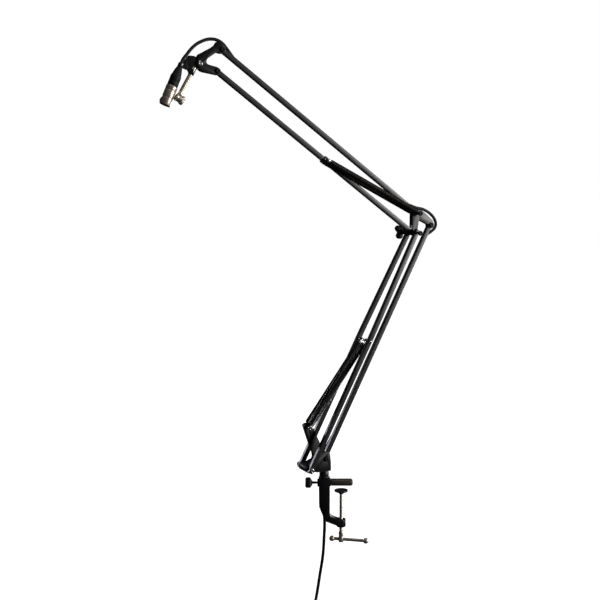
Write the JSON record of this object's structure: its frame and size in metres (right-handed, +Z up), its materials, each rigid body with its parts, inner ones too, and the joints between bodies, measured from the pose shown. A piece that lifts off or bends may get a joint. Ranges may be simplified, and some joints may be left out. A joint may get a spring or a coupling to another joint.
{
  "type": "microphone boom arm",
  "caption": "Spring-balanced desk boom arm for a microphone, with parallel tube linkages, a screw desk clamp, a tilting threaded head and a built-in audio lead.",
  "frame": {"origin": "underside of the clamp's upper jaw, over the clamp screw's axis", "axes": "+Z up, +X along the jaw away from the upright, +Y the far side; the arm's upright plane is turned 25 degrees about the swivel axis at rest"},
  "size_m": [0.4797, 0.2551, 1.1591],
  "materials": {
    "black_paint": "satin black powder paint",
    "nickel": "bright nickel plate",
    "zinc_bolts": "zinc plated steel",
    "black_plastic": "moulded black plastic",
    "spring_steel": "blackened spring wire",
    "lead_jacket": "matt black PVC jacket",
    "connector_silver": "satin nickel die casting",
    "boot_rubber": "soft black rubber",
    "jaw_enamel": "glossy black enamel"
  },
  "bodies": {
    "clamp": {"clamp_frame": "black_paint", "upper_jaw": "jaw_enamel", "cable_saddle": "black_plastic", "lead_tail": "lead_jacket", "lead_coil": "lead_jacket", "coil_tie": "black_plastic", "lead_plug_end": "lead_jacket", "plug_boot": "boot_rubber", "plug_shell": "connector_silver"},
    "thumbscrew": {"thumbscrew": "black_plastic"},
    "pad": {"clamp_pad": "black_plastic"},
    "screw": {"clamp_screw": "nickel", "screw_head": "nickel"},
    "bar": {"tommy_bar": "nickel"},
    "base": {"swivel_post": "black_paint", "base_bracket": "black_paint", "shoulder_pair_bolt": "zinc_bolts", "shoulder_pair_nut": "zinc_bolts", "shoulder_rear_bolt": "black_paint", "lower_spring_bolt": "zinc_bolts", "lower_spring_nut": "zinc_bolts", "lead_swivel": "lead_jacket"},
    "lower_pair": {"pair_tube_near": "black_paint", "pair_tube_far": "black_paint", "mid_cross_pin": "zinc_bolts", "lower_spring_near": "spring_steel", "lower_spring_far": "spring_steel"},
    "lower_rear": {"rear_tube": "black_paint", "lead_lower_arm": "lead_jacket", "lead_shoulder": "lead_jacket"},
    "elbow": {"elbow_bracket": "black_paint", "elbow_spacer_near": "black_plastic", "elbow_spacer_far": "black_plastic", "elbow_bolt": "black_paint", "elbow_sleeve": "black_plastic", "elbow_top_bolt": "black_paint", "elbow_rear_bolt": "black_paint"},
    "elbow_knob": {"elbow_knob": "black_plastic"},
    "forearm_top": {"forearm_top_tube": "black_paint", "lead_forearm": "lead_jacket", "lead_elbow": "lead_jacket"},
    "forearm_bottom": {"forearm_bottom_tube": "black_paint", "spring_collar": "black_paint", "collar_pin": "zinc_bolts", "forearm_spring_near": "spring_steel", "forearm_spring_far": "spring_steel"},
    "head": {"head_bracket": "black_paint", "head_top_bolt": "black_paint", "head_low_bolt": "black_paint", "tilt_bolt": "zinc_bolts"},
    "knuckle": {"knuckle": "black_plastic", "thread_rod": "nickel", "thread_barrel": "nickel", "cable_clip": "black_plastic", "connector_shell": "connector_silver", "connector_insert": "black_plastic", "connector_boot": "boot_rubber", "lead_head": "lead_jacket"},
    "thread_ring": {"thread_ring": "nickel"},
    "latch": {"connector_latch": "connector_silver"}
  },
  "joints": [
    {"name": "thumbscrew_turn", "type": "hinge", "parent": "clamp", "child": "thumbscrew", "pos_m": [-0.05, 0, 0.0054], "axis": [1, 0, 0], "continuous": true},
    {"name": "pad_lift", "type": "slide", "parent": "clamp", "child": "pad", "axis": [0, 0, 1], "range_m": [-0.037, 0.0073]},
    {"name": "screw_turn", "type": "hinge", "parent": "pad", "child": "screw", "pos_m": [0, 0, -0.05], "axis": [0, 0, 1], "continuous": true, "deforming": ["lead_tail"]},
    {"name": "bar_slide", "type": "slide", "parent": "screw", "child": "bar", "axis": [0.9744, -0.225, 0], "range_m": [-0.034, 0.006]},
    {"name": "base_swivel", "type": "hinge", "parent": "clamp", "child": "base", "pos_m": [-0.0306, 0, 0.02], "axis": [0, 0, 1], "range_deg": [-90, 90], "deforming": ["lead_swivel"]},
    {"name": "lower_arm_lean", "type": "hinge", "parent": "base", "child": "lower_rear", "pos_m": [-0.0306, 0, 0.0509], "axis": [-0.4226, 0.9063, 0], "range_deg": [-32, 24], "deforming": ["lead_shoulder"]},
    {"name": "lower_pair_lean", "type": "hinge", "parent": "base", "child": "lower_pair", "pos_m": [-0.06368, -0.01543, 0.0374], "axis": [-0.4226, 0.9063, 0], "range_deg": [-32.5, 24.5], "deforming": ["lower_spring_near", "lower_spring_far"]},
    {"name": "elbow_level", "type": "hinge", "parent": "lower_rear", "child": "elbow", "pos_m": [0.16321, 0.09038, 0.46381], "axis": [-0.4226, 0.9063, 0], "range_deg": [-24.5, 32.5], "deforming": ["lead_lower_arm"]},
    {"name": "forearm_lift", "type": "hinge", "parent": "elbow", "child": "forearm_top", "pos_m": [0.13811, 0.07867, 0.48541], "axis": [-0.4226, 0.9063, 0], "range_deg": [-61, 22], "deforming": ["lead_elbow"]},
    {"name": "forearm_bottom_lift", "type": "hinge", "parent": "elbow", "child": "forearm_bottom", "pos_m": [0.13013, 0.07495, 0.45031], "axis": [-0.4226, 0.9063, 0], "range_deg": [-61.5, 22.5], "deforming": ["forearm_spring_near", "forearm_spring_far"]},
    {"name": "head_level", "type": "hinge", "parent": "forearm_top", "child": "head", "pos_m": [-0.20349, -0.08062, 0.75774], "axis": [-0.4226, 0.9063, 0], "range_deg": [-22.5, 61.5], "deforming": ["lead_forearm"]},
    {"name": "knob_turn", "type": "hinge", "parent": "elbow", "child": "elbow_knob", "pos_m": [0.11323, 0.1112, 0.45031], "axis": [-0.4226, 0.9063, 0], "continuous": true},
    {"name": "head_tilt", "type": "hinge", "parent": "head", "child": "knuckle", "pos_m": [-0.23956, -0.09744, 0.73324], "axis": [-0.4226, 0.9063, 0], "range_deg": [-30, 35], "deforming": ["lead_head"]},
    {"name": "ring_turn", "type": "hinge", "parent": "knuckle", "child": "thread_ring", "pos_m": [-0.27218, -0.11265, 0.67704], "axis": [0.7849, 0.366, -0.5], "continuous": true},
    {"name": "latch_press", "type": "slide", "parent": "knuckle", "child": "latch", "axis": [0.8341, 0.3889, -0.3911], "range_m": [0, 0.0008], "stiffness_N_per_m": 300, "springref_m": -0.002}
  ],
  "couplings": [
    {"joint": "lower_pair_lean", "follows": "lower_arm_lean", "ratio": 1},
    {"joint": "elbow_level", "follows": "lower_arm_lean", "ratio": -1},
    {"joint": "forearm_bottom_lift", "follows": "forearm_lift", "ratio": 1},
    {"joint": "head_level", "follows": "forearm_lift", "ratio": -1}
  ]
}
